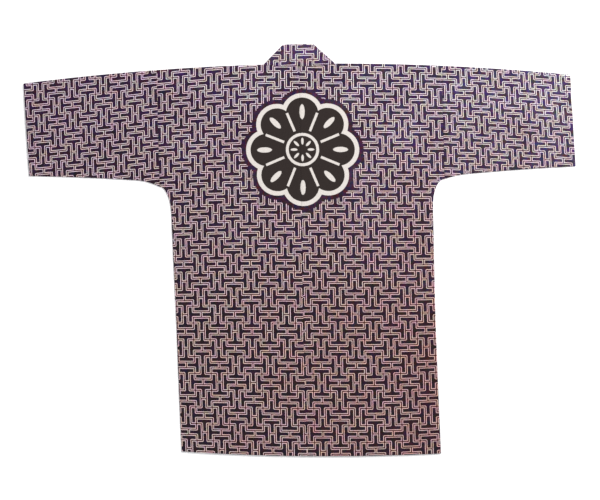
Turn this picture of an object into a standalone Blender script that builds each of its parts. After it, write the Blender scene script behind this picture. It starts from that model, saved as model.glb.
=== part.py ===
"""A happi coat of printed cotton, laid out flat with its back up.

Metres, +Z up. +Y points to the collar and +X to the right of someone who looks down on the back.
The coat lies on z = 0. Its origin is the middle of its outline on that surface.

Each place on the cloth has cut sizes: u runs outwards from the centre back seam, negative on the
left, and v runs down from the shoulder fold. The function lay turns them into the plan of the
coat as it lies: its shoulder line droops to both sides, its hem bows, and its sides lean a little.
"""

import math

import bmesh
import bpy
from mathutils import Vector

# Thickness of the cloth and of the collar, which is folded double
CLOTH = 0.0012
BAND = 0.0022
SEAM_GAP = 0.0003

# Outer radius of a folded edge, of the cloth and of the collar
FOLD = 0.0019
BAND_FOLD = 0.0024

# Cut sizes that both halves share
BODY_LENGTH = 0.931
ARMHOLE_U = 0.338
UNDERARM_DEPTH = 0.066
NECK_HALF = 0.085
NECK_DROP = 0.0066
COLLAR_RISE = 0.0462
COLLAR_WIDTH = 0.052
FRONT_SEAM_U = 0.060
FRONT_SLANT_END = 0.30
SLANT_EASE = 0.14

# Cut sizes of each half: the cuff's distance from the centre back, the width of the body panel
# down its side and the ease added to it under the arm, the depth of the armhole and of the cuff,
# how far the sleeve's lower edge flares into the armhole, and half the width of the collar's top
HALVES = {
    "left": {
        "sign": -1, "cuff_u": 0.6535, "side_u": 0.308, "side_ease": 0.0045, "armhole_v": 0.287,
        "cuff_v": 0.2285, "flare": 0.012, "collar_top": 0.0386,
    },
    "right": {
        "sign": 1, "cuff_u": 0.6423, "side_u": 0.307, "side_ease": 0.0030, "armhole_v": 0.2715,
        "cuff_v": 0.219, "flare": 0.007, "collar_top": 0.0344,
    },
}
FLARE_REACH = 0.055
EASE_REACH = 0.34

# How the coat lies: where the top of the centre back seam is, the droop of the shoulder line and
# the depth at which it has turned into the bow of the hem, and the lean of the upright lines
SEAM_X = -0.00075
TOP_Y = 0.44255
DROOP = 0.0865
DROOP_TURN = 0.45
DROOP_CENTRE = 0.0877
DROOP_SHIFT = 0.0482
SEAM_LEAN = 0.0075
SEAM_CURVE = 0.0139
SIDE_LEAN = 0.115

# Soft relief of the upper layer: how far it stands off between its folded edges, and its largest
# folds. Each is a long low swell: its middle, its length and width, the degrees that it is turned
# from the u axis, and its height.
LOFT = 0.0010
LOFT_REACH = 0.035
SWELLS = (
    {"u": -0.250, "v": 0.240, "long": 0.150, "wide": 0.034, "turn": 52, "high": 0.0016},
    {"u": 0.245, "v": 0.235, "long": 0.140, "wide": 0.032, "turn": 128, "high": 0.0017},
    {"u": -0.480, "v": 0.130, "long": 0.130, "wide": 0.036, "turn": 8, "high": 0.0013},
    {"u": 0.500, "v": 0.120, "long": 0.120, "wide": 0.034, "turn": 170, "high": 0.0014},
    {"u": -0.150, "v": 0.620, "long": 0.210, "wide": 0.042, "turn": 84, "high": 0.0014},
    {"u": 0.170, "v": 0.700, "long": 0.180, "wide": 0.040, "turn": 97, "high": 0.0015},
    {"u": 0.060, "v": 0.480, "long": 0.170, "wide": 0.046, "turn": 74, "high": 0.0009},
    {"u": -0.235, "v": 0.830, "long": 0.100, "wide": 0.034, "turn": 95, "high": 0.0012},
    {"u": 0.265, "v": 0.430, "long": 0.090, "wide": 0.030, "turn": 70, "high": 0.0011},
)

# Mesh steps
UPPER_ROWS = 10
UNDERARM_ROWS = 3
LOWER_ROWS = 16
NECK_COLUMNS = 3
SHOULDER_COLUMNS = 8
SLEEVE_STATIONS = 10
BAND_COLUMNS = 2
FOLD_STEPS = 6
WELD = 0.00001


def lay(u, v, z=0.0):
    """The place of a point of the cloth on the surface, from its cut sizes."""
    x = SEAM_X + u + SEAM_LEAN * v + SEAM_CURVE * v * v + SIDE_LEAN * u * u * v
    centre = DROOP_CENTRE - DROOP_SHIFT * v
    on_body = max(-ARMHOLE_U, min(ARMHOLE_U, u))
    on_sleeve = (u - centre) ** 2 - (on_body - centre) ** 2
    droop = DROOP * ((on_body - centre) ** 2 * (1 - v / DROOP_TURN) + on_sleeve)
    return Vector((x, TOP_Y - v - droop, z))


def side_u(half, v):
    """Width of a body panel's back at depth v, with the round of the underarm."""
    down = v - half["armhole_v"]
    if down <= 0:
        return ARMHOLE_U
    side = half["side_u"] + half["side_ease"] * max(0.0, 1 - down / EASE_REACH)
    left = 1 - min(1.0, down / UNDERARM_DEPTH)
    return side + (ARMHOLE_U - side) * (1 - math.sqrt(1 - left * left))


def sleeve_depth(half, u):
    """Depth of a sleeve at a distance u from the centre back: a taper, and a flare at the armhole."""
    along = (u - ARMHOLE_U) / (half["cuff_u"] - ARMHOLE_U)
    straight = half["armhole_v"] - half["flare"]
    taper = straight + (half["cuff_v"] - straight) * along
    near = max(0.0, 1 - (u - ARMHOLE_U) / FLARE_REACH)
    return taper + half["flare"] * near * near


def neck_v(u):
    """Depth of the back neckline under the shoulder line."""
    return NECK_DROP * (1 - (u / NECK_HALF) ** 2)


def front_u(v):
    """Distance of the seam between the front and the collar from the centre."""
    slant = min(1.0, v / FRONT_SLANT_END)
    return NECK_HALF + (FRONT_SEAM_U - NECK_HALF) * slant


def relief(half, u, v):
    """Height of the upper layer over its folded edges, from cut sizes with u outwards."""
    if u > ARMHOLE_U:
        low_edge = sleeve_depth(half, u) - v
    elif v < half["armhole_v"]:
        low_edge = math.hypot(ARMHOLE_U - u, half["armhole_v"] - v)
    else:
        low_edge = side_u(half, v) - u
    stand_off = LOFT
    for swell in SWELLS:
        turn = math.radians(swell["turn"])
        across_u = u * half["sign"] - swell["u"]
        across_v = v - swell["v"]
        long = across_u * math.cos(turn) + across_v * math.sin(turn)
        wide = across_v * math.cos(turn) - across_u * math.sin(turn)
        reach = (long / swell["long"]) ** 2 + (wide / swell["wide"]) ** 2
        stand_off += swell["high"] * math.exp(-reach)
    top_ramp = 1 - math.exp(-max(0.0, v) / LOFT_REACH)
    low_ramp = 1 - math.exp(-max(0.0, low_edge) / LOFT_REACH)
    return stand_off * top_ramp * low_ramp


def upper(half, u, v):
    """A point of the outer skin of the upper layer."""
    return lay(half["sign"] * u, v, 2 * FOLD + relief(half, u, v))


def under(half, u, v):
    """A point of the outer skin of the layer that lies on the surface."""
    return lay(half["sign"] * u, v)


def armhole_line(half):
    """Direction down the seam between a body panel and its sleeve, on the surface."""
    return (under(half, ARMHOLE_U, half["armhole_v"]) - under(half, ARMHOLE_U, 0)).normalized()


def folded_edge(edge, inside, radius, first=None, last=None):
    """For each point of an edge, the points of its fold from the upper layer round to the lower.

    first and last give the way out at an end that meets a seam, so that the fold ends in its plane.
    """
    rows = []
    for index, point in enumerate(edge):
        before = edge[max(0, index - 1)]
        after = edge[min(len(edge) - 1, index + 1)]
        along = (after - before).normalized()
        outward = Vector((along.y, -along.x, 0))
        if outward.dot(point - inside) < 0:
            outward.negate()
        if index == 0 and first:
            outward = first
        if index == len(edge) - 1 and last:
            outward = last
        centre = point - outward * radius
        row = []
        for step in range(FOLD_STEPS + 1):
            angle = math.pi * (0.5 - step / FOLD_STEPS)
            place = centre + outward * radius * math.cos(angle)
            place.z = radius + radius * math.sin(angle)
            row.append(place)
        rows.append(row)
    return rows


def add_grid(mesh, rows):
    """Adds the quads between rows of points."""
    corners = [[mesh.verts.new(point) for point in row] for row in rows]
    for near, far in zip(corners, corners[1:]):
        for index in range(len(near) - 1):
            mesh.faces.new((near[index], near[index + 1], far[index + 1], far[index]))


def finish(name, mesh, thickness, material, collection):
    """Makes the open outer skin into an object whose wall is as thick as its cloth."""
    bmesh.ops.remove_doubles(mesh, verts=mesh.verts, dist=WELD)
    bmesh.ops.recalc_face_normals(mesh, faces=mesh.faces)
    mesh.normal_update()
    top = max(mesh.faces, key=lambda face: face.calc_center_median().z)
    if top.normal.z < 0:
        bmesh.ops.reverse_faces(mesh, faces=mesh.faces)
    data = bpy.data.meshes.new(name)
    mesh.to_mesh(data)
    mesh.free()
    data.materials.append(material)
    data.shade_smooth()
    piece = bpy.data.objects.new(name, data)
    collection.objects.link(piece)
    wall = piece.modifiers.new("wall", "SOLIDIFY")
    wall.thickness = thickness
    wall.offset = -1
    wall.use_even_offset = True
    wall.use_quality_normals = True
    return piece


def panel_rows(half):
    """Depths of the rows of a body panel, from the shoulder fold to the hem."""
    armhole = half["armhole_v"]
    rows = [armhole * step / UPPER_ROWS for step in range(UPPER_ROWS + 1)]
    for step in range(1, UNDERARM_ROWS + 1):
        angle = math.pi / 2 * step / UNDERARM_ROWS
        rows.append(armhole + UNDERARM_DEPTH * (1 - math.cos(angle)))
    start = rows[-1]
    for step in range(1, LOWER_ROWS + 1):
        rows.append(start + (BODY_LENGTH - start) * step / LOWER_ROWS)
    return rows


def shoulder_us(half, v, inner):
    """Widths of the columns from the neck, or the collar's seam, to the side."""
    outer = side_u(half, v)
    if v <= half["armhole_v"]:
        outer -= SEAM_GAP / 2
    return [
        inner + (outer - inner) * step / SHOULDER_COLUMNS for step in range(SHOULDER_COLUMNS + 1)
    ]


def body_panel(name, half, material, collection):
    """Back and front in one piece, folded at the shoulder and closed along the side seam."""
    rows = panel_rows(half)
    collar_seams = [front_u(v) + SEAM_GAP / 2 for v in rows]
    middle = under(half, half["side_u"] / 2, BODY_LENGTH / 2)

    shoulder = [under(half, u, 0) for u in shoulder_us(half, 0, collar_seams[0])]
    shoulder_fold = folded_edge(shoulder, middle, FOLD, last=-armhole_line(half))
    side = [under(half, side_u(half, v), v) for v in rows[UPPER_ROWS:]]
    side[0] = under(half, ARMHOLE_U - SEAM_GAP / 2, half["armhole_v"])
    side_fold = folded_edge(side, middle, FOLD, first=armhole_line(half))

    back = []
    front = []
    for index, v in enumerate(rows):
        inner_us = [
            SEAM_GAP / 2 + (collar_seams[index] - SEAM_GAP / 2) * step / NECK_COLUMNS
            for step in range(NECK_COLUMNS)
        ]
        outer_us = shoulder_us(half, v, collar_seams[index])
        if index:
            back.append([upper(half, u, v) for u in inner_us + outer_us])
            front.append([under(half, u, v) for u in outer_us])
        else:
            neckline = [upper(half, u, neck_v(u) + SEAM_GAP / 2) for u in inner_us]
            back.append(neckline + [fold[0] for fold in shoulder_fold])
            front.append([fold[-1] for fold in shoulder_fold])
        if index >= UPPER_ROWS:
            back[-1][-1] = side_fold[index - UPPER_ROWS][0]
            front[-1][-1] = side_fold[index - UPPER_ROWS][-1]

    mesh = bmesh.new()
    add_grid(mesh, back)
    add_grid(mesh, front)
    add_grid(mesh, shoulder_fold)
    add_grid(mesh, side_fold)
    return finish(name, mesh, CLOTH, material, collection)


def sleeve(name, half, material, collection):
    """One piece folded along its top and seamed below, open at the armhole and the cuff."""
    start = ARMHOLE_U + SEAM_GAP / 2
    reach = half["cuff_u"] - start
    stations = [start + reach * step / SLEEVE_STATIONS for step in range(SLEEVE_STATIONS + 1)]
    middle = under(half, (start + half["cuff_u"]) / 2, half["cuff_v"] / 2)
    top_edge = [under(half, u, 0) for u in stations]
    top_fold = folded_edge(top_edge, middle, FOLD, first=-armhole_line(half))
    low_edge = [under(half, u, sleeve_depth(half, u)) for u in stations]
    low_fold = folded_edge(low_edge, middle, FOLD, first=armhole_line(half))

    back = []
    front = []
    for u, top, low in zip(stations, top_fold, low_fold):
        depths = [sleeve_depth(half, u) * step / UPPER_ROWS for step in range(1, UPPER_ROWS)]
        back.append([top[0]] + [upper(half, u, v) for v in depths] + [low[0]])
        front.append([top[-1]] + [under(half, u, v) for v in depths] + [low[-1]])

    mesh = bmesh.new()
    add_grid(mesh, back)
    add_grid(mesh, front)
    add_grid(mesh, top_fold)
    add_grid(mesh, low_fold)
    return finish(name, mesh, CLOTH, material, collection)


def band_row(seam, free):
    """Points across the collar from its seam to its free edge."""
    return [seam.lerp(free, step / BAND_COLUMNS) for step in range(BAND_COLUMNS + 1)]


def collar_half(half):
    """Rows of the collar from the centre back over its slanted fold and down the front."""
    sign = half["sign"]
    height = 2 * BAND_FOLD
    neck_point = lay(sign * (NECK_HALF - SEAM_GAP / 2), 0)
    top_point = lay(sign * half["collar_top"], -COLLAR_RISE)
    fold = folded_edge(band_row(neck_point, top_point), lay(0, 0), BAND_FOLD)

    rows = []
    for step in range(NECK_COLUMNS):
        share = step / NECK_COLUMNS
        seam_u = SEAM_GAP / 2 + (NECK_HALF - SEAM_GAP / 2) * share
        seam = lay(sign * NECK_HALF * share, neck_v(seam_u) - SEAM_GAP / 2, height)
        free = lay(sign * half["collar_top"] * share, -COLLAR_RISE, height)
        rows.append(band_row(seam, free))
    rows += [[place[step] for place in fold] for step in range(FOLD_STEPS + 1)]
    for v in panel_rows(half)[1:]:
        ease = max(0.0, 1 - v / SLANT_EASE)
        seam_u = front_u(v) - SEAM_GAP / 2
        fold_width = NECK_HALF - half["collar_top"]
        free_u = seam_u - COLLAR_WIDTH + (COLLAR_WIDTH - fold_width) * ease
        free = lay(sign * free_u, v - COLLAR_RISE * ease)
        rows.append(band_row(lay(sign * seam_u, v), free))
    return rows


def collar(name, material, collection):
    """The doubled band round the neck and down both front edges, in one piece."""
    left = collar_half(HALVES["left"])
    right = collar_half(HALVES["right"])
    mesh = bmesh.new()
    add_grid(mesh, left[:0:-1] + right)
    return finish(name, mesh, BAND, material, collection)


def cloth_material(name, colour):
    material = bpy.data.materials.new(name)
    material.use_nodes = True
    shader = material.node_tree.nodes["Principled BSDF"]
    shader.inputs["Base Color"].default_value = (*colour, 1)
    shader.inputs["Roughness"].default_value = 0.9
    shader.inputs["Metallic"].default_value = 0.0
    return material


def main():
    for old in list(bpy.data.objects):
        bpy.data.objects.remove(old, do_unlink=True)
    coat = bpy.data.collections.new("happi_coat")
    bpy.context.scene.collection.children.link(coat)
    for side, half in HALVES.items():
        printed = cloth_material(f"printed_cotton_{side}", (0.075, 0.055, 0.110))
        body_panel(f"body_{side}", half, printed, coat)
        sleeve_cloth = cloth_material(f"sleeve_cotton_{side}", (0.080, 0.058, 0.115))
        sleeve(f"sleeve_{side}", half, sleeve_cloth, coat)
    collar("collar", cloth_material("collar_cotton", (0.070, 0.050, 0.100)), coat)


main()
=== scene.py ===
"""The looks of a happi coat of stencil-dyed cotton, laid out flat with its back up.

Every piece is a fine shell on the form of its solid. A place on the cloth has cut sizes in metres:
u runs from the centre back seam, negative on the left, and v runs down from the shoulder fold.
"""

import math

import bmesh
import bpy
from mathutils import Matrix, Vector, noise


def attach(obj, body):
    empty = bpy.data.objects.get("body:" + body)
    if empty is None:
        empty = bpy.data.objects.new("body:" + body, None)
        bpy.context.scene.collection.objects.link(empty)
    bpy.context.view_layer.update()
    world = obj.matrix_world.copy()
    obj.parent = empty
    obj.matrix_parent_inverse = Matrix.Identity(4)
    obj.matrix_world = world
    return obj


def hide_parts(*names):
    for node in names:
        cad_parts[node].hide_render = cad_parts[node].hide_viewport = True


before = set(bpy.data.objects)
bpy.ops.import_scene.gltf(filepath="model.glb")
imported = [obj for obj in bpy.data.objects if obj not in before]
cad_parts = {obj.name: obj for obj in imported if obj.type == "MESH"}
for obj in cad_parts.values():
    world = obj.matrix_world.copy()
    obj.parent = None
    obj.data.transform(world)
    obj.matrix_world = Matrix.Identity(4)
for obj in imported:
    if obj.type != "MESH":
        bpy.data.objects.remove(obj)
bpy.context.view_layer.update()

# Thickness of the cloth and of the doubled collar, outer radius of a folded edge, and the hair
# gap between two pieces that are sewn together, which lie closer here than the solids do
CLOTH = 0.0012
BAND = 0.0022
SEAM_GAP = 0.00003
FOLD = 0.0019
BAND_FOLD = 0.0024

# Cut sizes, as in the solids
BODY_LENGTH = 0.931
ARMHOLE_U = 0.338
UNDERARM_DEPTH = 0.066
NECK_HALF = 0.085
NECK_DROP = 0.0066
COLLAR_RISE = 0.0462
COLLAR_WIDTH = 0.052
FRONT_SEAM_U = 0.060
FRONT_SLANT_END = 0.30
SLANT_EASE = 0.14
FLARE_REACH = 0.055
EASE_REACH = 0.34
HALVES = {
    "left": {
        "sign": -1, "cuff_u": 0.6535, "side_u": 0.308, "side_ease": 0.0045, "armhole_v": 0.287,
        "cuff_v": 0.2285, "flare": 0.012, "collar_top": 0.0386,
    },
    "right": {
        "sign": 1, "cuff_u": 0.6423, "side_u": 0.307, "side_ease": 0.0030, "armhole_v": 0.2715,
        "cuff_v": 0.219, "flare": 0.007, "collar_top": 0.0344,
    },
}

# How the coat lies, as in the solids
SEAM_X = -0.00075
TOP_Y = 0.44255
DROOP = 0.0865
DROOP_TURN = 0.45
DROOP_CENTRE = 0.0877
DROOP_SHIFT = 0.0482
SEAM_LEAN = 0.0075
SEAM_CURVE = 0.0139
SIDE_LEAN = 0.115

# Large soft folds, as in the solids: middle, length and width, degrees from the u axis, height.
# A fold ends where the square of the distance, in its own lengths and widths, is FLAT_PAST.
LOFT = 0.0010
LOFT_REACH = 0.035
FLAT_PAST = 12
SWELLS = (
    {"u": -0.250, "v": 0.240, "long": 0.150, "wide": 0.034, "turn": 52, "high": 0.0016},
    {"u": 0.245, "v": 0.235, "long": 0.140, "wide": 0.032, "turn": 128, "high": 0.0017},
    {"u": -0.480, "v": 0.130, "long": 0.130, "wide": 0.036, "turn": 8, "high": 0.0013},
    {"u": 0.500, "v": 0.120, "long": 0.120, "wide": 0.034, "turn": 170, "high": 0.0014},
    {"u": -0.150, "v": 0.620, "long": 0.210, "wide": 0.042, "turn": 84, "high": 0.0014},
    {"u": 0.170, "v": 0.700, "long": 0.180, "wide": 0.040, "turn": 97, "high": 0.0015},
    {"u": 0.060, "v": 0.480, "long": 0.170, "wide": 0.046, "turn": 74, "high": 0.0009},
    {"u": -0.235, "v": 0.830, "long": 0.100, "wide": 0.034, "turn": 95, "high": 0.0012},
    {"u": 0.265, "v": 0.430, "long": 0.090, "wide": 0.030, "turn": 70, "high": 0.0011},
)

# Main creases, given one by one: soft ridges, and troughs where high is negative
CREASES = (
    {"u": -0.300, "v": 0.215, "long": 0.070, "wide": 0.0110, "turn": 58, "high": 0.0010},
    {"u": -0.272, "v": 0.275, "long": 0.055, "wide": 0.0090, "turn": 44, "high": -0.0008},
    {"u": -0.262, "v": 0.330, "long": 0.060, "wide": 0.0100, "turn": 30, "high": 0.0008},
    {"u": 0.296, "v": 0.205, "long": 0.062, "wide": 0.0100, "turn": 118, "high": 0.0010},
    {"u": 0.268, "v": 0.268, "long": 0.066, "wide": 0.0090, "turn": 138, "high": -0.0008},
    {"u": 0.250, "v": 0.345, "long": 0.048, "wide": 0.0110, "turn": 152, "high": 0.0008},
    {"u": -0.385, "v": 0.185, "long": 0.060, "wide": 0.0120, "turn": 24, "high": 0.0008},
    {"u": 0.392, "v": 0.170, "long": 0.052, "wide": 0.0110, "turn": 158, "high": 0.0008},
    {"u": -0.560, "v": 0.070, "long": 0.050, "wide": 0.0110, "turn": 96, "high": 0.0007},
    {"u": 0.575, "v": 0.150, "long": 0.044, "wide": 0.0120, "turn": 80, "high": 0.0007},
    {"u": -0.075, "v": 0.085, "long": 0.050, "wide": 0.0110, "turn": 66, "high": 0.0007},
    {"u": 0.110, "v": 0.070, "long": 0.056, "wide": 0.0120, "turn": 112, "high": 0.0007},
    {"u": -0.215, "v": 0.530, "long": 0.085, "wide": 0.0130, "turn": 80, "high": 0.0008},
    {"u": 0.235, "v": 0.590, "long": 0.095, "wide": 0.0120, "turn": 98, "high": 0.0008},
    {"u": -0.085, "v": 0.760, "long": 0.075, "wide": 0.0130, "turn": 72, "high": 0.0007},
    {"u": 0.085, "v": 0.835, "long": 0.070, "wide": 0.0120, "turn": 104, "high": 0.0008},
    {"u": 0.020, "v": 0.600, "long": 0.080, "wide": 0.0140, "turn": 58, "high": -0.0005},
)

# Sewing: turned hems, seam grooves and the ease that the thread draws into the cloth beside them.
# The row of stitches is HEM_ROW inside a hem's inner edge.
HEM_DEPTH = 0.018
HEM_RISE = 0.0008
HEM_STEP = 0.0010
HEM_ROUND = 0.0012
HEM_ROW = 0.0012
GROOVE_DEEP = 0.00050
GROOVE_WIDE = 0.0014
SEAM_DEEP = 0.0009
SEAM_WIDE = 0.0025
ALLOWANCE = 0.011
ALLOWANCE_RISE = 0.0005
ALLOWANCE_STEP = 0.0012
PUCKER = 0.00030
PUCKER_PITCH = 0.019
PUCKER_REACH = 0.010
PUCKER_SWAY = 2.2
PUCKER_SWAY_RATE = 37
SEWN_FADE = 0.005
UNDER_GROOVE = 0.00025
RIPPLE = 0.00035
RIPPLE_PITCH = 0.045
RIPPLE_SLICE = 3.0

# The doubled collar: shares of its width at which its rows of points run, its soft waves, how it
# rounds down at its edges, and how fast the waves die out towards its slanted fold
BAND_SHARES = (0, 0.012, 0.03, 0.042, 0.055, 0.10, 0.22, 0.36, 0.50, 0.64, 0.78, 0.90, 0.96, 0.985, 1)
BAND_WAVE = 0.00022
BAND_WAVES_ALONG = 22
BAND_WAVES_ACROSS = 30
BAND_SLICE = 7.0
BAND_WAVE_REACH = 0.006
BAND_EDGE_DEEP = 0.0004
BAND_EDGE_ROUND = 0.0008
BAND_FOLD_FADE = 8

# Stitches: length, step, half width, the shares of its length where it is thick, and how high it
# sits. The collar's row is COLLAR_STITCH from its seam. Then the distances at which rows end.
STITCH = 0.0030
STITCH_STEP = 0.0044
STITCH_HALF = 0.00028
STITCH_THICK = (0.18, 0.82)
STITCH_SIDES = 4
SEAT = STITCH_HALF * 0.35
COLLAR_STITCH = 0.0022
ROW_START = 0.001
NECK_ROW_END = 0.006
FRONT_ROW_START = 0.03
FRONT_ROW_END = 0.002
UP = Vector((0, 0, 1))

# Mesh steps
PITCH = 0.0075
FOLD_STEPS = 10
UNDERARM_ROWS = 9
NEAR_SEAM = (0.0007, 0.0015, 0.0025, 0.0040, 0.0065)
NEAR_FOLD = (0.0038, 0.0065)
NECK_EASE = 0.030
FOLD_EASE = 0.014
NEAR_HEM = (0.0006, 0.0020, 0.0080, 0.0140, 0.0164, 0.0174, 0.0186, 0.0196, 0.0220)
SPREAD = 0.045
SPREAD_REACH = 0.010
WELD = 0.000004

# The stencil print, as the count of figures across and down each panel: the count at the
# shoulder's centre, and its change for a metre of u and of v. The drawn cloth bends the rows, a
# bow with u squared, a skew with u times v, an opening with v squared and a swing with v cubed.
# Beside the centre seam the prints of the two halves draw together, by a count across them at the
# hem, and across and down at the neck.
PRINTS = {
    "body_left": {
        "across": {"at": 3.945, "per_u": 23.82, "per_v": -0.03, "bow": -3.13, "skew": -0.85,
                   "opening": -0.03},
        "down": {"at": -11.937, "per_u": -0.06, "per_v": 25.90, "bow": -1.60, "skew": -0.18,
                 "opening": -1.99, "swing": 1.03},
        "hem_shift": 0.065, "neck_across": 0.020, "neck_down": -0.075,
    },
    "body_right": {
        "across": {"at": -0.862, "per_u": 23.99, "per_v": -0.41, "bow": 1.92, "skew": -0.02,
                   "opening": 0.41},
        "down": {"at": -11.075, "per_u": -0.19, "per_v": 26.98, "bow": 0.89, "skew": -0.03,
                 "opening": -3.81, "swing": 1.93},
        "hem_shift": -0.074, "neck_across": -0.070, "neck_down": 0.075,
    },
    "sleeve_left": {
        "across": {"at": 10.591, "per_u": 27.15, "per_v": -0.61, "bow": 0.23, "skew": -1.53,
                   "opening": 0.14},
        "down": {"at": -3.874, "per_u": 3.29, "per_v": 25.52, "bow": 3.27, "skew": -0.51,
                 "opening": -0.72},
    },
    "sleeve_right": {
        "across": {"at": -11.028, "per_u": 25.22, "per_v": -0.69, "bow": 1.58, "skew": 0.33,
                   "opening": 0.72},
        "down": {"at": -5.633, "per_u": -0.46, "per_v": 26.61, "bow": 0.70, "skew": 1.74,
                 "opening": -2.77},
    },
    "collar": {
        "across": {"at": 0.670, "per_u": 25.50, "per_v": 0.0},
        "down": {"at": 0.719, "per_u": 0.57, "per_v": 26.20},
    },
}
HEM_SHIFT_REACH = 0.040
NECK_SHIFT_REACH = 0.060

# The interlocking T figure in steps of a third of its spacing: the middle and half size of each
# bar of the line between the figures, in the quarter of the repeat that the others mirror
FIGURE_STEPS = 3
REPEAT_HALF = 3.0
FIGURE_LINES = (
    {"x": 0.25, "y": 0.00, "half_x": 0.25, "half_y": 0.00},
    {"x": 0.50, "y": 0.75, "half_x": 0.00, "half_y": 0.75},
    {"x": 1.00, "y": 1.50, "half_x": 0.50, "half_y": 0.00},
    {"x": 1.50, "y": 1.50, "half_x": 0.00, "half_y": 1.00},
    {"x": 0.75, "y": 2.50, "half_x": 0.75, "half_y": 0.00},
    {"x": 0.00, "y": 2.75, "half_x": 0.00, "half_y": 0.25},
)
DARK_LINE = 0.104
CREAM_LINE = 0.205
LINE_SOFT = 0.016

# How unevenly the lines are printed: patches to a step, and how far the edges wander in them
TORN_PATCHES = 7.0
CREAM_TORN = 0.100
DARK_TORN = 0.045
DRAWN_PATCHES = 1.6
LINE_DRAWN = 0.050

# The round flower badge on the back, a general ornament: middle, petals, the widths of its cream
# outline and of the dark contour round it, and its cream figures by their distance from its middle
BADGE_U = 0.0056
BADGE_V = 0.204
PETALS = 8
PETAL_AT = 0.085
PETAL_ROUND = 0.0385
OUTLINE = 0.0105
CONTOUR = 0.0210
BADGE_SOFT = 0.0004
BADGE_TORN = 0.0012
BADGE_PATCHES = 260.0
SLOT = {"start": 0.047, "end": 0.094, "half_wide": 0.0030}
RING = {"radius": 0.036, "half_wide": 0.0034}
SEED = {"at": 0.090, "half_long": 0.0175, "half_wide": 0.0062}
BUD = {"at": 0.020, "half_long": 0.0080, "half_wide": 0.0030}

# Colours of the dyes, as linear light, with painted light and shade in them. The dark dye and the
# ground go over the coat from a colour at each cuff to one at each end of the hem: painted light
# makes them paler towards the right cuff, and painted shade makes them darker towards the right
# end of the hem. The dark hair line is warmer than the figures, and the collar's dark dye has faded.
DARK_DYE_WITH_PAINTED_LIGHT = {
    "left_cuff": (0.0225, 0.0068, 0.0250), "right_cuff": (0.0640, 0.0420, 0.0950),
    "left_hem": (0.0165, 0.0078, 0.0140), "right_hem": (0.0300, 0.0100, 0.0150),
}
CREAM_WITH_PAINTED_LIGHT = {
    "left_cuff": (0.745, 0.597, 0.650), "right_cuff": (0.945, 0.890, 0.870),
    "left_hem": (0.800, 0.640, 0.645), "right_hem": (0.660, 0.365, 0.340),
}
HAIR_TINT = (0.0270, -0.0010, -0.0060)
COLLAR_FADE = 1.50

# How the dyes, with their painted light and shade, go over from the left to the right and from the
# top to the hem, for a metre of u and of v, and how wide and fine patches of the cloth lead or lag
# in it
ACROSS_MIDDLE = 0.47
ACROSS_PER_U = 0.72
DOWN_PER_V = 1.60
WIDE_PATCHES = 9.0
FINE_PATCHES = 85.0
WIDE_ACROSS = 0.80
WIDE_DOWN = -0.70
FINE_DOWN = 0.60

# Small patches of colour to a metre in each dye, and how far each channel drifts in them
DARK_PATCHES = 100.0
DARK_DRIFT = (1.55, 1.05, 1.85)
CREAM_PATCHES = 75.0
CREAM_DRIFT = (0.75, 0.62, 0.95)
CHARCOAL = (0.026, 0.019, 0.017)
BADGE_CREAM = (0.640, 0.600, 0.560)

# The plain weave: slubs to a metre across and along a yarn, how much they shade the cloth, and how
# much the pitch of the yarns adds to their relief
SLUBS_ACROSS = 1500.0
SLUBS_ALONG = 60.0
SLUB_SHADE = 0.34
SLUB_DARKEST = 0.66
YARN_PITCH = 0.0010
YARN_RELIEF = 0.35
RELIEF_STRENGTH = 0.60
RELIEF_DEPTH = 0.00035
CLOTH_ROUGHNESS = 0.80
SLUB_ROUGHNESS = 0.10
SHEEN = 0.04
SHEEN_ROUGHNESS = 0.60
CLOTH_GLOSS = 0.10

# Sewing thread and its twist
THREAD = (0.020, 0.014, 0.030)
THREAD_LIGHTER = 2.2
THREAD_TWISTS = 900.0
THREAD_ROUGHNESS = 0.7

# The paper floor, a hair under the cloth
FLOOR_SIZE = 60
FLOOR_Z = -0.0004
FLOOR_TONES = ((0.90, 0.90, 0.90), (0.93, 0.93, 0.93))
FLOOR_PATCHES = 3.0
FLOOR_ROUGHNESS = 0.9
FLOOR_GLOSS = 0.1
FLOOR_GLOW = 0.12

# Soft daylight from the upper right, a weak fill from the left and an even sky
LIGHTS = (
    {"name": "key", "place": (1.9, 2.1, 3.0), "size": 1.8, "power": 174,
     "colour": (1.0, 0.985, 0.975)},
    {"name": "fill", "place": (-2.6, -0.8, 3.0), "size": 3.0, "power": 40,
     "colour": (1.0, 0.975, 0.96)},
)
SKY = (0.94, 0.95, 1.0)
SKY_POWER = 0.45

# The camera looks straight down. The photo is 600 px wide, and 1 px of it is this many metres.
PHOTO_WIDTH = 600
METRES_PER_PIXEL = 0.00237
CAMERA_X = 0.00105
CAMERA_Y = 0.00025
LENS = 85.0
SENSOR = 36.0


def lay(u, v, z=0.0):
    """The place of a point of the cloth on the surface, from its cut sizes."""
    x = SEAM_X + u + SEAM_LEAN * v + SEAM_CURVE * v * v + SIDE_LEAN * u * u * v
    centre = DROOP_CENTRE - DROOP_SHIFT * v
    on_body = max(-ARMHOLE_U, min(ARMHOLE_U, u))
    on_sleeve = (u - centre) ** 2 - (on_body - centre) ** 2
    droop = DROOP * ((on_body - centre) ** 2 * (1 - v / DROOP_TURN) + on_sleeve)
    return Vector((x, TOP_Y - v - droop, z))


def side_u(half, v):
    """Width of a body panel's back at depth v, with the round of the underarm."""
    down = v - half["armhole_v"]
    if down <= 0:
        return ARMHOLE_U
    side = half["side_u"] + half["side_ease"] * max(0.0, 1 - down / EASE_REACH)
    left = 1 - min(1.0, down / UNDERARM_DEPTH)
    return side + (ARMHOLE_U - side) * (1 - math.sqrt(1 - left * left))


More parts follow.
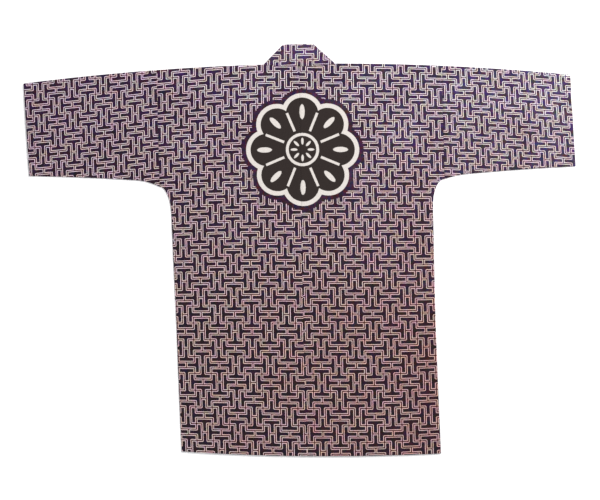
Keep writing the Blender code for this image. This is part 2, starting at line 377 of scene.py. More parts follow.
def sleeve_depth(half, u):
    """Depth of a sleeve at a distance u from the centre back."""
    along = (u - ARMHOLE_U) / (half["cuff_u"] - ARMHOLE_U)
    straight = half["armhole_v"] - half["flare"]
    taper = straight + (half["cuff_v"] - straight) * along
    flare = max(0.0, 1 - (u - ARMHOLE_U) / FLARE_REACH)
    return taper + half["flare"] * flare * flare


def neck_v(u):
    """Depth of the back neckline under the shoulder line."""
    return NECK_DROP * (1 - (u / NECK_HALF) ** 2)


def front_u(v):
    """Distance of the seam between the front and the collar from the centre."""
    slant = min(1.0, v / FRONT_SLANT_END)
    return NECK_HALF + (FRONT_SEAM_U - NECK_HALF) * slant


def bell(distance, width):
    """1 at no distance, falling away smoothly on both sides."""
    return math.exp(-((distance / width) ** 2))


def near(distance, reach, soft):
    """1 within reach and 0 beyond it, with a soft step."""
    return 0.5 - 0.5 * math.tanh((distance - reach) / soft)


def swell_height(swell, u, v):
    """Height of one long soft fold at a place on the cloth."""
    turn = math.radians(swell["turn"])
    off_u = u - swell["u"]
    off_v = v - swell["v"]
    long = off_u * math.cos(turn) + off_v * math.sin(turn)
    wide = off_v * math.cos(turn) - off_u * math.sin(turn)
    reach = (long / swell["long"]) ** 2 + (wide / swell["wide"]) ** 2
    return swell["high"] * math.exp(-reach) if reach < FLAT_PAST else 0.0


def low_edge_distance(half, u, v):
    """Distance to the folded or seamed lower edge of the sleeve or the side of the body."""
    if u > ARMHOLE_U:
        return max(0.0, sleeve_depth(half, u) - v)
    if v < half["armhole_v"]:
        return math.hypot(ARMHOLE_U - u, half["armhole_v"] - v)
    return max(0.0, side_u(half, v) - u)


def hem_form(distance):
    """Height of a turned hem over the cloth beside it, at a distance from its edge."""
    step = near(distance, HEM_DEPTH, HEM_STEP)
    round_edge = 1 - math.exp(-distance / HEM_ROUND)
    groove = GROOVE_DEEP * bell(distance - HEM_DEPTH + HEM_ROW, GROOVE_WIDE)
    return HEM_RISE * step * round_edge - groove


def pucker(distance, along):
    """Small ripples that the thread draws into the cloth beside a seam."""
    sway = PUCKER_SWAY * math.sin(along * PUCKER_SWAY_RATE)
    ripple = math.sin(2 * math.pi * along / PUCKER_PITCH + sway)
    return PUCKER * ripple * math.exp(-distance / PUCKER_REACH)


def seam_form(distance, along, is_pressed_here):
    """Groove of a seam, with the seam allowance pressed to one side of it."""
    height = pucker(distance, along) - SEAM_DEEP * bell(distance, SEAM_WIDE)
    if is_pressed_here:
        height += ALLOWANCE_RISE * near(distance, ALLOWANCE, ALLOWANCE_STEP)
    return height


def relief(half, u, v):
    """Height of the upper layer over its folded edges, with u outwards from the centre."""
    signed = u * half["sign"]
    edge = low_edge_distance(half, u, v)
    soft = LOFT + sum(swell_height(swell, signed, v) for swell in SWELLS)
    sharp = sum(swell_height(crease, signed, v) for crease in CREASES)
    spot = Vector((signed / RIPPLE_PITCH, v / RIPPLE_PITCH, RIPPLE_SLICE))
    sharp += RIPPLE * noise.noise(spot)
    top = max(0.0, v - FOLD)
    low = max(0.0, edge - FOLD)
    height = (soft + sharp) * (1 - math.exp(-top / LOFT_REACH)) * (1 - math.exp(-low / LOFT_REACH))
    fade = min(1.0, top / SEWN_FADE) * min(1.0, low / SEWN_FADE)
    sewn = 0.0
    if u < ARMHOLE_U:
        sewn += seam_form(u, v, half["sign"] < 0)
        sewn += hem_form(BODY_LENGTH - v)
    else:
        sewn += hem_form(half["cuff_u"] - u)
    sewn += seam_form(abs(u - ARMHOLE_U), v, u > ARMHOLE_U) if v < half["armhole_v"] else 0.0
    return height + sewn * fade


def upper(half, u, v):
    """A spot of the outer skin of the upper layer: its place, and its place on the cloth."""
    signed = half["sign"] * u
    return lay(signed, v, 2 * FOLD + relief(half, u, v)), signed, v


def under(half, u, v):
    """A spot of the outer skin of the layer that lies on the surface. Its cloth runs on over the
    shoulder fold, so v is negative on it."""
    signed = half["sign"] * u
    if u > ARMHOLE_U:
        hem = half["cuff_u"] - u
    else:
        hem = BODY_LENGTH - v
    groove = UNDER_GROOVE * bell(hem - HEM_DEPTH + HEM_ROW, GROOVE_WIDE)
    return lay(signed, v, groove), signed, -v


def armhole_line(half):
    """Direction down the seam between a body panel and its sleeve, on the surface."""
    sign = half["sign"]
    return (lay(sign * ARMHOLE_U, half["armhole_v"]) - lay(sign * ARMHOLE_U, 0)).normalized()


def folded_edge(edge, inside, radius, first=None, last=None):
    """For each point of an edge, the points of its fold from the upper layer round to the lower."""
    half_way = len(edge) // 2
    along = edge[half_way] - edge[half_way - 1]
    hand = Vector((along.y, -along.x, 0)).dot(edge[half_way] - inside)
    rows = []
    for index, point in enumerate(edge):
        before = edge[max(0, index - 1)]
        after = edge[min(len(edge) - 1, index + 1)]
        along = (after - before).normalized() * math.copysign(1, hand)
        outward = Vector((along.y, -along.x, 0))
        for given, end in ((first, edge[0]), (last, edge[-1])):
            if given:
                share = max(0.0, 1 - (point - end).length / FOLD_EASE)
                outward = outward.lerp(given, share).normalized()
        centre = point - outward * radius
        row = []
        for step in range(FOLD_STEPS + 1):
            angle = math.pi * (0.5 - step / FOLD_STEPS)
            place = centre + outward * radius * math.cos(angle)
            place.z = radius + radius * math.sin(angle)
            row.append(place)
        rows.append(row)
    return rows


def graded(start, end, near_start=(), near_end=()):
    """Values from start to end at about the mesh pitch, closer at the seams."""
    head = [start] + [start + near for near in near_start]
    tail = [end - near for near in reversed(near_end)] + [end]
    count = max(1, round((tail[0] - head[-1]) / PITCH))
    middle = [head[-1] + (tail[0] - head[-1]) * step / count for step in range(1, count)]
    return head + middle + tail


def panel_rows(half):
    """Depths of the rows of a body panel, and which of them is the foot of the armhole."""
    armhole = half["armhole_v"]
    rows = graded(0, armhole, NEAR_FOLD, NEAR_FOLD)
    foot = len(rows) - 1
    for step in range(1, UNDERARM_ROWS + 1):
        angle = math.pi / 2 * step / UNDERARM_ROWS
        rows.append(armhole + UNDERARM_DEPTH * (1 - math.cos(angle)))
    return rows + graded(rows[-1], BODY_LENGTH, (), NEAR_HEM)[1:], foot


def spread(share):
    """The share of a row's width, moved so that the points crowded at its end stand apart."""
    left = 1 - share
    return share - SPREAD * share * (1 - math.exp(-left / SPREAD_REACH))


def print_count(u, v, at, per_u, per_v, bow=0.0, skew=0.0, opening=0.0, swing=0.0):
    """How many figures of the print lie between its first one and a place on the cloth."""
    bent = bow * u * u + skew * u * v + opening * v * abs(v) + swing * v ** 3
    return at + per_u * u + per_v * v + bent


def as_object(name, mesh, material):
    """The finished mesh as an object in its material."""
    data = bpy.data.meshes.new(name)
    mesh.to_mesh(data)
    mesh.free()
    data.materials.append(material)
    piece = bpy.data.objects.new(name, data)
    bpy.context.scene.collection.objects.link(piece)
    return piece


class Skin:
    """An open skin made of grids of spots. Each face corner keeps its place on the cloth, and its
    place in the print, counted in steps of the figure. A skin that is coloured where it lies takes
    the place where it lies on the coat instead of its place on its own cloth, so that it gets the
    dyes and the painted light and shade of that place."""

    def __init__(self, name, print_name, coloured_where_it_lies=False):
        self.name = name
        self.placing = PRINTS[print_name]
        self.coloured_where_it_lies = coloured_where_it_lies
        self.mesh = bmesh.new()
        self.cloth = self.mesh.loops.layers.uv.new("cloth")
        self.figure = self.mesh.loops.layers.uv.new("figure")

    def figure_at(self, u, v):
        """The place in the print, in steps of the figure, of a place on the cloth."""
        put = self.placing
        across = print_count(u, v, **put["across"])
        down = print_count(u, v, **put["down"])
        if "hem_shift" in put:
            by_hem = (v / BODY_LENGTH) ** 2 * math.exp(-abs(u) / HEM_SHIFT_REACH)
            by_neck = math.exp(-(abs(u) + abs(v)) / NECK_SHIFT_REACH)
            across += put["hem_shift"] * by_hem + put["neck_across"] * by_neck
            down += put["neck_down"] * by_neck
        return across * FIGURE_STEPS, -down * FIGURE_STEPS

    def grid(self, rows):
        """Adds the faces between rows of spots."""
        corners = [[self.mesh.verts.new(spot[0]) for spot in row] for row in rows]
        for i in range(len(rows) - 1):
            for j in range(len(rows[i]) - 1):
                index = ((i, j), (i, j + 1), (i + 1, j + 1), (i + 1, j))
                face = self.mesh.faces.new([corners[a][b] for a, b in index])
                face.smooth = True
                for loop, (a, b) in zip(face.loops, index):
                    place, u, v = rows[a][b]
                    lies_at = (place.x - SEAM_X, TOP_Y - place.y)
                    loop[self.cloth].uv = lies_at if self.coloured_where_it_lies else (u, v)
                    loop[self.figure].uv = self.figure_at(u, v)

    def finish(self, thickness, material):
        """Makes the skin into an object whose wall is as thick as its cloth."""
        mesh = self.mesh
        bmesh.ops.remove_doubles(mesh, verts=mesh.verts, dist=WELD)
        bmesh.ops.recalc_face_normals(mesh, faces=mesh.faces)
        mesh.normal_update()
        top = max(mesh.faces, key=lambda face: face.calc_center_median().z)
        if top.normal.z < 0:
            bmesh.ops.reverse_faces(mesh, faces=mesh.faces)
        piece = as_object(self.name, mesh, material)
        wall = piece.modifiers.new("wall", "SOLIDIFY")
        wall.thickness = thickness
        wall.offset = -1
        wall.use_quality_normals = True
        return piece


def fold_spots(fold, us, vs):
    """Spots of a fold across which the cloth runs on, so v passes through zero."""
    rows = []
    for places_round, u, v in zip(fold, us, vs):
        row = []
        for step, place in enumerate(places_round):
            share = 1 - 2 * step / FOLD_STEPS
            row.append((place, u, v + share * FOLD * math.pi / 2))
        rows.append(row)
    return rows


def seam_spots(fold, edges, ends):
    """Spots of an edge where two layers are sewn together: the upper half and the lower half. The
    cut places run from the end of the upper layer out to the edge, and back on the lower layer."""
    middle = FOLD_STEPS // 2
    above = []
    below = []
    for places_round, edge, end in zip(fold, edges, ends):
        cut = [
            [start + (stop - start) * step / middle for start, stop in zip(end, edge)]
            for step in range(middle + 1)
        ]
        above.append([(place, u, v) for place, (u, v) in zip(places_round, cut)])
        below.append([(place, u, -v) for place, (u, v) in zip(places_round[middle:], cut[::-1])])
    return above, below


def make_body(side, half, material):
    """Back and front in one piece, folded at the shoulder and closed along the side seam."""
    sign = half["sign"]
    rows, foot = panel_rows(half)
    start = SEAM_GAP / 2
    middle = lay(sign * half["side_u"] / 2, BODY_LENGTH / 2)
    neck_span = graded(start, NECK_HALF, NEAR_SEAM, ())
    neck_shares = [(u - start) / (NECK_HALF - start) for u in neck_span[:-1]]
    shoulder_span = graded(NECK_HALF, ARMHOLE_U, NEAR_SEAM[2:], NEAR_SEAM)
    shoulder_shares = [(u - NECK_HALF) / (ARMHOLE_U - NECK_HALF) for u in shoulder_span]

    side_vs = rows[foot:]
    side_us = [ARMHOLE_U - start] + [side_u(half, v) for v in side_vs[1:]]
    side_edge = [lay(sign * u, v) for u, v in zip(side_us, side_vs)]
    side_fold = folded_edge(side_edge, middle, FOLD, first=armhole_line(half))

    def outer_spots(index):
        """Cut places of a row from the collar's seam out to the armhole or the side's fold."""
        v = rows[index]
        inner = front_u(v) + start
        if index < foot:
            return [(inner + (ARMHOLE_U - start - inner) * share, v) for share in shoulder_shares]
        off = side_fold[index - foot][0] - side_edge[index - foot]
        outer = side_us[index - foot] + sign * off.x
        shares = [spread(share) for share in shoulder_shares]
        return [(inner + (outer - inner) * share, v - off.y * share ** 4) for share in shares]

    def inner_spots(index):
        """Cut places of a row from the centre back out to above the collar's seam."""
        v = rows[index]
        outer = front_u(v) + start
        ease = max(0.0, 1 - v / NECK_EASE)
        us = [start + (outer - start) * share for share in neck_shares]
        return [(u, v + (neck_v(u) + start) * ease) for u in us]

    shoulder_us = [u for u, _ in outer_spots(0)]
    shoulder = [lay(sign * u, 0) for u in shoulder_us]
    shoulder_fold = folded_edge(shoulder, middle, FOLD, last=-armhole_line(half))
    turn = FOLD * math.pi / 2
    neckline = [upper(half, u, v) for u, v in inner_spots(0)]
    back = [neckline + [(fold[0], sign * u, turn) for fold, u in zip(shoulder_fold, shoulder_us)]]
    front = [[(fold[-1], sign * u, -turn) for fold, u in zip(shoulder_fold, shoulder_us)]]
    for index in range(1, len(rows)):
        spots = outer_spots(index)
        back.append([upper(half, u, v) for u, v in inner_spots(index) + spots])
        front.append([under(half, u, v) for u, v in spots])
        if index >= foot:
            fold = side_fold[index - foot]
            u, v = spots[-1]
            back[-1][-1] = (fold[0], sign * u, v)
            front[-1][-1] = (fold[-1], sign * u, -v)

    skin = Skin(f"coat_body_{side}", f"body_{side}")
    skin.grid(back)
    skin.grid(front)
    skin.grid(fold_spots(shoulder_fold, [sign * u for u in shoulder_us], [0] * len(shoulder_us)))
    ends = [row[-1][1:] for row in back[foot:]]
    for half_round in seam_spots(side_fold, zip((sign * u for u in side_us), side_vs), ends):
        skin.grid(half_round)
    return skin.finish(CLOTH, material)


def make_sleeve(side, half, material):
    """One piece folded along its top and seamed below, open at the armhole and the cuff."""
    sign = half["sign"]
    stations = graded(ARMHOLE_U + SEAM_GAP / 2, half["cuff_u"], NEAR_SEAM, NEAR_HEM)
    middle = lay(sign * (ARMHOLE_U + half["cuff_u"]) / 2, half["cuff_v"] / 2)
    top_edge = [lay(sign * u, 0) for u in stations]
    top_fold = folded_edge(top_edge, middle, FOLD, first=-armhole_line(half))
    depths = [sleeve_depth(half, u) for u in stations]
    low_edge = [lay(sign * u, v) for u, v in zip(stations, depths)]
    low_fold = folded_edge(low_edge, middle, FOLD, first=armhole_line(half))
    down = graded(0, half["armhole_v"], NEAR_FOLD, NEAR_FOLD)
    shares = [v / half["armhole_v"] for v in down[1:-1]]

    back = []
    front = []
    for u, depth, top, low in zip(stations, depths, top_fold, low_fold):
        at = sign * u
        turn = FOLD * math.pi / 2
        inner = [upper(half, u, depth * share) for share in shares]
        back.append([(top[0], at, turn)] + inner + [(low[0], at, depth - FOLD)])
        inner = [under(half, u, depth * share) for share in shares]
        front.append([(top[-1], at, -turn)] + inner + [(low[-1], at, FOLD - depth)])

    skin = Skin(f"coat_sleeve_{side}", f"sleeve_{side}")
    signed = [sign * u for u in stations]
    skin.grid(back)
    skin.grid(front)
    skin.grid(fold_spots(top_fold, signed, [0] * len(signed)))
    ends = [row[-1][1:] for row in back]
    for half_round in seam_spots(low_fold, zip(signed, depths), ends):
        skin.grid(half_round)
    return skin.finish(CLOTH, material)


def band_form(share, along):
    """Height of the doubled collar: soft at its edges, with a stitched groove beside the seam."""
    across = share * COLLAR_WIDTH
    to_edge = min(across, COLLAR_WIDTH - across)
    groove = GROOVE_DEEP * bell(across - COLLAR_STITCH, GROOVE_WIDE / 2)
    spot = Vector((along * BAND_WAVES_ALONG, across * BAND_WAVES_ACROSS, BAND_SLICE))
    wave = BAND_WAVE * noise.noise(spot) * min(1.0, to_edge / BAND_WAVE_REACH)
    return wave - BAND_EDGE_DEEP * math.exp(-to_edge / BAND_EDGE_ROUND) - groove


def collar_half(half):
    """Rows of the collar from the centre back over its slanted fold and down the front."""
    sign = half["sign"]
    height = 2 * BAND_FOLD
    start = SEAM_GAP / 2
    neck_point = lay(sign * (NECK_HALF - start), 0)
    top_point = lay(sign * half["collar_top"], -COLLAR_RISE)
    edge = [neck_point.lerp(top_point, share) for share in BAND_SHARES]
    fold = folded_edge(edge, lay(0, 0), BAND_FOLD)

    rows = []
    for seam_u in graded(0, NECK_HALF)[:-2]:
        share = seam_u / NECK_HALF
        row = []
        for across in BAND_SHARES:
            u = sign * share * (NECK_HALF + (half["collar_top"] - NECK_HALF) * across)
            v = (neck_v(seam_u) - start) * (1 - across) - COLLAR_RISE * across
            rise = band_form(across, u) * min(1.0, (1 - share) * BAND_FOLD_FADE)
            row.append((lay(u, v, height + rise), u, v))
        rows.append(row)
    inwards = NECK_HALF - half["collar_top"]
    slope = math.hypot(inwards, COLLAR_RISE)
    for step in range(FOLD_STEPS + 1):
        row = []
        over = math.pi * BAND_FOLD * (step / FOLD_STEPS - 0.5) / slope
        for places_round, share in zip(fold, BAND_SHARES):
            u = NECK_HALF - inwards * share + COLLAR_RISE * over
            row.append((places_round[step], sign * u, -COLLAR_RISE * share - inwards * over))
        rows.append(row)
    for v in panel_rows(half)[0][2:]:
        ease = max(0.0, 1 - v / SLANT_EASE)
        seam_u = front_u(v) - start
        free_u = seam_u - COLLAR_WIDTH + (COLLAR_WIDTH - inwards) * ease
        seam = lay(sign * seam_u, v)
        free = lay(sign * free_u, v - COLLAR_RISE * ease)
        row = []
        for share in BAND_SHARES:
            place = seam.lerp(free, share)
            groove = bell(share * COLLAR_WIDTH - COLLAR_STITCH, GROOVE_WIDE / 2)
            place.z = UNDER_GROOVE * groove
            down = v - COLLAR_RISE * ease * share
            row.append((place, sign * (NECK_HALF + down), -COLLAR_WIDTH * share))
        rows.append(row)
    return rows


def make_collar(material):
    """The doubled band round the neck and down both front edges, in one piece."""
    left = collar_half(HALVES["left"])
    right = collar_half(HALVES["right"])
    skin = Skin("coat_collar", "collar", coloured_where_it_lies=True)
    skin.grid(left[:0:-1] + right)
    return skin.finish(BAND, material)


def add_stitch(mesh, start, end, up):
    """One stitch: a spindle of thread between two points on the cloth."""
    along = (end - start).normalized()
    side = along.cross(up).normalized() * STITCH_HALF
    rise = up.normalized() * STITCH_HALF
    ring = []
    for share in STITCH_THICK:
        middle = start.lerp(end, share)
        ring.append([mesh.verts.new(middle + way) for way in (side, rise, -side, -rise)])
    tips = [mesh.verts.new(start), mesh.verts.new(end)]
    for index in range(STITCH_SIDES):
        after = (index + 1) % STITCH_SIDES
        mesh.faces.new((ring[0][index], ring[1][index], ring[1][after], ring[0][after]))
        mesh.faces.new((tips[0], ring[0][index], ring[0][after]))
        mesh.faces.new((tips[1], ring[1][after], ring[1][index]))


def run_of_stitches(mesh, place, start, end, up):
    """Stitches along a line from start to end, where place gives the point at a distance."""
    at = start + STITCH_STEP / 2
    while at + STITCH < end:
        add_stitch(mesh, place(at), place(at + STITCH), up)
        at += STITCH_STEP


def make_stitches(name, lines, material):
    """One piece of all the stitches along some lines."""
    mesh = bmesh.new()
    for place, start, end, up in lines:
        run_of_stitches(mesh, place, start, end, up)
    bmesh.ops.recalc_face_normals(mesh, faces=mesh.faces)
    piece = as_object(name, mesh, material)
    piece.data.shade_smooth()
    return piece


def raised(spot, lift):
    """The point of a spot, lifted along z so that a stitch lies on it."""
    return spot[0] + Vector((0, 0, lift))


def hem_lines(half):
    """Stitched lines of the body's hem, on the back and on the front."""
    v = BODY_LENGTH - HEM_DEPTH + HEM_ROW
    side = side_u(half, v) - 2 * FOLD
    return [
        (lambda u: raised(upper(half, u, v), SEAT), ROW_START, side, UP),
        (lambda u: raised(under(half, u, v), SEAT), front_u(v) + ROW_START, side, -UP),
    ]


def cuff_lines(half):
    """Stitched lines of a cuff's hem, on both sides of the sleeve."""
    u = half["cuff_u"] - HEM_DEPTH + HEM_ROW
    depth = sleeve_depth(half, u) - 2 * FOLD
    return [
        (lambda v: raised(upper(half, u, v), SEAT), 2 * FOLD, depth, UP),
        (lambda v: raised(under(half, u, v), SEAT), 2 * FOLD, depth, -UP),
    ]


def collar_lines(half):
    """Stitched lines beside the collar's seam, round the neck and down the front."""
    sign = half["sign"]
    height = 2 * BAND_FOLD - GROOVE_DEEP + SEAT

    def on_neck(u):
        return lay(sign * u, neck_v(u) - COLLAR_STITCH, height)

    def on_front(v):
        return lay(sign * (front_u(v) - COLLAR_STITCH), v, UNDER_GROOVE)

    return [
        (on_neck, ROW_START, NECK_HALF - NECK_ROW_END, UP),
        (on_front, FRONT_ROW_START, BODY_LENGTH - FRONT_ROW_END, -UP),
    ]


class Graph:
    """Short names for the nodes of a material."""

    def __init__(self, name):
        self.material = bpy.data.materials.new(name)
        self.material.use_nodes = True
        self.tree = self.material.node_tree
        self.shader = self.tree.nodes["Principled BSDF"]

    def feed(self, socket, value):
        """Links a socket to a node's output, or sets it to a number, a vector or a colour."""
        if isinstance(value, bpy.types.NodeSocket):
            self.tree.links.new(value, socket)
        elif isinstance(value, tuple) and len(socket.default_value) == 4:
            socket.default_value = (*value, 1)
        else:
            socket.default_value = value

    def set(self, name, value):
        """Feeds a socket of the shader."""
        self.feed(self.shader.inputs[name], value)

    def node(self, kind, **given):
        """A new node, with its inputs fed by their names."""
        node = self.tree.nodes.new(f"ShaderNode{kind}")
        for name, value in given.items():
            self.feed(node.inputs[name], value)
        return node

    def math(self, operation, *values, clamp=False):
        node = self.node("Math")
        node.operation = operation
        node.use_clamp = clamp
        for socket, value in zip(node.inputs, values):
            self.feed(socket, value)
        return node.outputs[0]

    def vector(self, operation, *values):
        node = self.node("VectorMath")
        node.operation = operation
        for socket, value in zip(node.inputs, values):
            self.feed(socket, value)
        return node.outputs["Value" if operation == "LENGTH" else "Vector"]

    def combine(self, x, y):
        return self.node("CombineXYZ", X=x, Y=y).outputs[0]

    def separate(self, vector):
        node = self.node("SeparateXYZ", Vector=vector)
        return node.outputs[0], node.outputs[1]

    def uv(self, name):
        node = self.node("UVMap")
        node.uv_map = name
        return node.outputs[0]

    def noise(self, vector, scale, detail=2.0):
        return self.node("TexNoise", Vector=vector, Scale=scale, Detail=detail).outputs["Fac"]

    def drift(self, vector, scale, detail):
        """Noise round zero, at most 0.5 either way."""
        return self.math("SUBTRACT", self.noise(vector, scale, detail), 0.5)

    def tint(self, vector, scale, drift):
        """A factor for each channel round 1 that drifts over the cloth."""
        patches = self.node("TexNoise", Vector=vector, Scale=scale).outputs["Color"]
        least = tuple(1 - amount / 2 for amount in drift)
        return self.vector("MULTIPLY_ADD", patches, drift, least)

    def mix(self, share, first, second):
        """The first colour at no share and the second at a full one."""
        node = self.node("Mix")
        node.data_type = "RGBA"
        self.feed(node.inputs["Factor"], share)
        colours = [socket for socket in node.inputs if socket.type == "RGBA"]
        self.feed(colours[0], first)
        self.feed(colours[1], second)
        return next(socket for socket in node.outputs if socket.type == "RGBA")

    def scale_colour(self, colour, amount):
        node = self.node("VectorMath")
        node.operation = "SCALE"
        self.feed(node.inputs[0], colour)
        self.feed(node.inputs["Scale"], amount)
        return node.outputs["Vector"]

    def ramp(self, value, low, high):
        """0 below low, 1 above high, smooth in between."""
        node = self.node("MapRange", **{"Value": value, "From Min": low, "From Max": high})
        node.interpolation_type = "SMOOTHSTEP"
        return node.outputs[0]

    def below(self, value, limit, soft):
        """1 where the value is under the limit, with a soft edge."""
        return self.math("SUBTRACT", 1.0, self.ramp(value, limit - soft, limit + soft))


def line_distance(graph, figure):
    """Distance from the nearest line between the T figures, in steps."""
    x, y = graph.separate(figure)
    x = graph.math("PINGPONG", x, REPEAT_HALF)
    y = graph.math("PINGPONG", y, REPEAT_HALF)
    turned = graph.math("GREATER_THAN", x, REPEAT_HALF / 2)
    flip = graph.math("MULTIPLY_ADD", turned, -2.0, 1.0)
    shift = graph.math("MULTIPLY", turned, REPEAT_HALF)
    place = graph.combine(
        graph.math("MULTIPLY_ADD", x, flip, shift), graph.math("MULTIPLY_ADD", y, flip, shift)
    )
    nearest = None
    for line in FIGURE_LINES:
        off = graph.vector("SUBTRACT", place, (line["x"], line["y"], 0.0))
        off = graph.vector("ABSOLUTE", off)
        off = graph.vector("SUBTRACT", off, (line["half_x"], line["half_y"], 0.0))
        away = graph.vector("LENGTH", graph.vector("MAXIMUM", off, (0.0, 0.0, 0.0)))
        nearest = away if nearest is None else graph.math("MINIMUM", nearest, away)
    return nearest


def ellipse(graph, x, y, at, half_long, half_wide):
    """Distance from an ellipse on the petal's axis, under zero inside it."""
    long = graph.math("DIVIDE", graph.math("SUBTRACT", x, at), half_long)
    wide = graph.math("DIVIDE", y, half_wide)
    size = graph.vector("LENGTH", graph.combine(long, wide))
    return graph.math("MULTIPLY", graph.math("SUBTRACT", size, 1.0), half_wide)


def badge_distances(graph, cloth):
    """Distance from the badge's body, and from its cream figures, under zero inside."""
    off = graph.vector("SUBTRACT", cloth, (BADGE_U, BADGE_V, 0.0))
    torn = graph.drift(cloth, BADGE_PATCHES, 2.0)
    x, y = graph.separate(off)
    radius = graph.vector("LENGTH", off)
    angle = graph.math("ARCTAN2", x, y)
    half_sector = math.pi / PETALS
    turn = graph.math("PINGPONG", angle, half_sector)
    petal_x = graph.math("MULTIPLY", radius, graph.math("COSINE", turn))
    petal_y = graph.math("MULTIPLY", radius, graph.math("SINE", turn))
    from_middle = graph.combine(graph.math("SUBTRACT", petal_x, PETAL_AT), petal_y)
    petal = graph.math("SUBTRACT", graph.vector("LENGTH", from_middle), PETAL_ROUND)
    core = graph.math("SUBTRACT", radius, PETAL_AT)
    body = graph.math("MINIMUM", petal, core)
    body = graph.math("MULTIPLY_ADD", torn, BADGE_TORN, body)

    to_side = graph.math("SINE", graph.math("SUBTRACT", half_sector, turn))
    slot = graph.math("SUBTRACT", graph.math("MULTIPLY", radius, to_side), SLOT["half_wide"])
    slot = graph.math("MAXIMUM", slot, graph.math("SUBTRACT", SLOT["start"], radius))
    slot = graph.math("MAXIMUM", slot, graph.math("SUBTRACT", radius, SLOT["end"]))
    ring = graph.math("ABSOLUTE", graph.math("SUBTRACT", radius, RING["radius"]))
    ring = graph.math("SUBTRACT", ring, RING["half_wide"])
    seed = ellipse(graph, petal_x, petal_y, **SEED)
    bud = ellipse(graph, petal_x, petal_y, **BUD)
    cream = graph.math("MINIMUM", slot, ring)
    cream = graph.math("MINIMUM", cream, graph.math("MINIMUM", seed, bud))
    return body, graph.math("MULTIPLY_ADD", torn, BADGE_TORN, cream)


def over_coat(graph, across, down, lit_dye):
    """A dye's colour at a place, with its painted light and shade, from its colours at the cuffs and
    at the hem's ends.
    """
    high = graph.mix(across, lit_dye["left_cuff"], lit_dye["right_cuff"])
    low = graph.mix(across, lit_dye["left_hem"], lit_dye["right_hem"])
    return graph.mix(down, high, low)


def print_shares(graph, figure):
    """Share of cream in the colour of a place, and whether it is past the dark hair line."""
    torn = graph.drift(figure, TORN_PATCHES, 2.0)
    drawn = graph.drift(figure, DRAWN_PATCHES, 1.0)
    distance = graph.math("MULTIPLY_ADD", drawn, LINE_DRAWN, line_distance(graph, figure))
    outer = graph.math("MULTIPLY_ADD", torn, CREAM_TORN, distance)
    in_line = graph.below(outer, CREAM_LINE, LINE_SOFT)
    hair = graph.math("MULTIPLY_ADD", torn, DARK_TORN, distance)
    past_hair = graph.ramp(hair, DARK_LINE - LINE_SOFT, DARK_LINE + LINE_SOFT)
    return graph.math("MULTIPLY", in_line, past_hair), past_hair


def dyes_with_painted_light(graph, cloth, dark_fade, past_hair):
    """The dark dye and the cream ground at a place, with painted light that makes them paler towards
    the right cuff and painted shade that makes them darker towards the right end of the hem. The dark
    one gets paler mostly near the right cuff, from that painted light, and is the patchier one."""
    u, v = graph.separate(cloth)
    wide = graph.drift(cloth, WIDE_PATCHES, 3.0)
    fine = graph.drift(cloth, FINE_PATCHES, 1.0)
    across = graph.math("MULTIPLY_ADD", u, ACROSS_PER_U, ACROSS_MIDDLE)
    across = graph.math("MULTIPLY_ADD", wide, WIDE_ACROSS, across, clamp=True)
    down = graph.math("MULTIPLY", graph.math("ABSOLUTE", v), DOWN_PER_V)
    down = graph.math("MULTIPLY_ADD", wide, WIDE_DOWN, down)
    down = graph.math("MULTIPLY_ADD", fine, FINE_DOWN, down, clamp=True)
    dark = over_coat(graph, graph.math("MULTIPLY", across, across), down, DARK_DYE_WITH_PAINTED_LIGHT)
    patches = graph.tint(cloth, DARK_PATCHES, DARK_DRIFT)
    dark = graph.vector("MULTIPLY", dark, graph.vector("MULTIPLY", patches, patches))
    dark = graph.scale_colour(dark, dark_fade)
    dark = graph.mix(past_hair, graph.vector("ADD", dark, HAIR_TINT), dark)
    cream = over_coat(graph, across, down, CREAM_WITH_PAINTED_LIGHT)
    cream = graph.vector("MULTIPLY", cream, graph.tint(cloth, CREAM_PATCHES, CREAM_DRIFT))
    return dark, cream


def with_badge(graph, cloth, colour, dark):
    """The print's colour with the badge over it, inside a contour of the dark dye."""
    body, figures = badge_distances(graph, cloth)
    outline = graph.math("MULTIPLY", graph.ramp(body, -BADGE_SOFT, BADGE_SOFT),
                         graph.below(body, OUTLINE, BADGE_SOFT))
    inside = graph.math("MULTIPLY", graph.below(figures, 0.0, BADGE_SOFT),
                        graph.below(body, -BADGE_SOFT, BADGE_SOFT))
    pale = graph.math("MAXIMUM", outline, inside)
    field = graph.mix(graph.below(body, OUTLINE / 2, BADGE_SOFT), dark, CHARCOAL)
    badge = graph.mix(pale, field, BADGE_CREAM)
    return graph.mix(graph.below(body, CONTOUR, BADGE_SOFT), colour, badge)


def slubs(graph, u, v, per_u, per_v):
    """Unevenness of the yarns that run one way, as so many slubs to a metre of u and of v."""
    place = graph.combine(graph.math("MULTIPLY", u, per_u), graph.math("MULTIPLY", v, per_v))
    return graph.noise(place, 1.0)


def weave(graph, cloth):
    """Gives the shader the relief and roughness of the yarns, and returns how they shade it."""
    u, v = graph.separate(cloth)
    warp = slubs(graph, u, v, SLUBS_ACROSS, SLUBS_ALONG)
    weft = slubs(graph, u, v, SLUBS_ALONG, SLUBS_ACROSS)
    slub = graph.math("ADD", warp, weft)
    pitch = 2 * math.pi / YARN_PITCH
    over = graph.math("MULTIPLY", graph.math("SINE", graph.math("MULTIPLY", u, pitch)),
                      graph.math("SINE", graph.math("MULTIPLY", v, pitch)))
    height = graph.math("MULTIPLY_ADD", over, YARN_RELIEF, slub)
    bump = graph.node("Bump", Strength=RELIEF_STRENGTH, Distance=RELIEF_DEPTH, Height=height)
    graph.set("Normal", bump.outputs[0])
    graph.set("Roughness", graph.math("MULTIPLY_ADD", slub, SLUB_ROUGHNESS, CLOTH_ROUGHNESS))
    return graph.math("MULTIPLY_ADD", slub, SLUB_SHADE, SLUB_DARKEST)


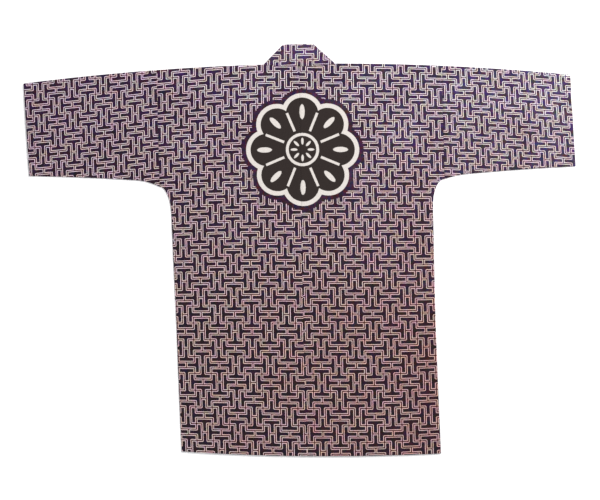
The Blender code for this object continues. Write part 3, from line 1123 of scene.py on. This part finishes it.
def cloth_material(name, has_badge, dark_fade):
    """Plain-woven cotton, dyed through a stencil: dark figures, cream lines and a dark hair line."""
    graph = Graph(name)
    cloth = graph.uv("cloth")
    share, past_hair = print_shares(graph, graph.uv("figure"))
    dark, cream = dyes_with_painted_light(graph, cloth, dark_fade, past_hair)
    colour = graph.mix(share, dark, cream)
    if has_badge:
        colour = with_badge(graph, cloth, colour, dark)
    graph.set("Base Color", graph.scale_colour(colour, weave(graph, cloth)))
    graph.set("Sheen Weight", SHEEN)
    graph.set("Sheen Roughness", SHEEN_ROUGHNESS)
    graph.set("Specular IOR Level", CLOTH_GLOSS)
    return graph.material


def thread_material():
    """Sewing thread with a little twist in its tone."""
    graph = Graph("sewing_thread")
    place = graph.node("TexCoord").outputs["Object"]
    lighter = tuple(channel * THREAD_LIGHTER for channel in THREAD)
    graph.set("Base Color", graph.mix(graph.noise(place, THREAD_TWISTS), THREAD, lighter))
    graph.set("Roughness", THREAD_ROUGHNESS)
    return graph.material


def floor_material():
    """Pale seamless paper."""
    graph = Graph("pale_floor")
    place = graph.node("TexCoord").outputs["Object"]
    graph.set("Base Color", graph.mix(graph.noise(place, FLOOR_PATCHES), *FLOOR_TONES))
    graph.set("Roughness", FLOOR_ROUGHNESS)
    graph.set("Specular IOR Level", FLOOR_GLOSS)
    graph.set("Emission Color", (1, 1, 1))
    graph.set("Emission Strength", FLOOR_GLOW)
    return graph.material


def make_floor():
    """The sheet of paper that the coat lies on."""
    bpy.ops.mesh.primitive_plane_add(size=FLOOR_SIZE, location=(0, 0, FLOOR_Z))
    floor = bpy.context.object
    floor.name = "pale_floor"
    floor.data.materials.append(floor_material())


def make_light(name, place, size, power, colour):
    """A round soft light that looks at the middle of the coat."""
    data = bpy.data.lights.new(name, "AREA")
    data.shape = "DISK"
    data.size = size
    data.energy = power
    data.color = colour
    light = bpy.data.objects.new(name, data)
    light.location = place
    light.rotation_euler = (-Vector(place)).to_track_quat("-Z", "Y").to_euler()
    bpy.context.scene.collection.objects.link(light)


def make_studio():
    """The lights and the sky."""
    for light in LIGHTS:
        make_light(**light)
    world = bpy.data.worlds.new("studio")
    world.use_nodes = True
    sky = world.node_tree.nodes["Background"]
    sky.inputs["Color"].default_value = (*SKY, 1)
    sky.inputs["Strength"].default_value = SKY_POWER
    bpy.context.scene.world = world
    bpy.context.scene.view_settings.view_transform = "Standard"


def make_camera():
    """Straight down on the back, as far away as makes the photo's width."""
    data = bpy.data.cameras.new("camera")
    data.lens = LENS
    data.sensor_width = SENSOR
    width = PHOTO_WIDTH * METRES_PER_PIXEL
    camera = bpy.data.objects.new("camera", data)
    camera.location = (CAMERA_X, CAMERA_Y, width * LENS / SENSOR + 2 * FOLD)
    bpy.context.scene.collection.objects.link(camera)
    bpy.context.scene.camera = camera


def put_in(piece, slot, *nodes):
    """The piece rides on the coat and stands for the solids that it covers; its slot is not used."""
    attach(piece, "root")
    if nodes:
        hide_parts(*nodes)


make_camera()
make_studio()
make_floor()

printed = cloth_material("printed_cotton", has_badge=True, dark_fade=1.0)
banded = cloth_material("collar_cotton", has_badge=False, dark_fade=COLLAR_FADE)
thread = thread_material()

for side, half in HALVES.items():
    body = make_body(side, half, printed)
    put_in(body, "printed_cotton", f"body_{side}")
    sleeve = make_sleeve(side, half, printed)
    put_in(sleeve, "printed_cotton", f"sleeve_{side}")

collar = make_collar(banded)
put_in(collar, "collar_cotton", "collar")

halves = HALVES.values()
seams = {
    "hem_stitches": [line for half in halves for line in hem_lines(half)],
    "cuff_stitches": [line for half in halves for line in cuff_lines(half)],
    "collar_stitches": [line for half in halves for line in collar_lines(half)],
}
for name, lines in seams.items():
    put_in(make_stitches(name, lines, thread), "thread")
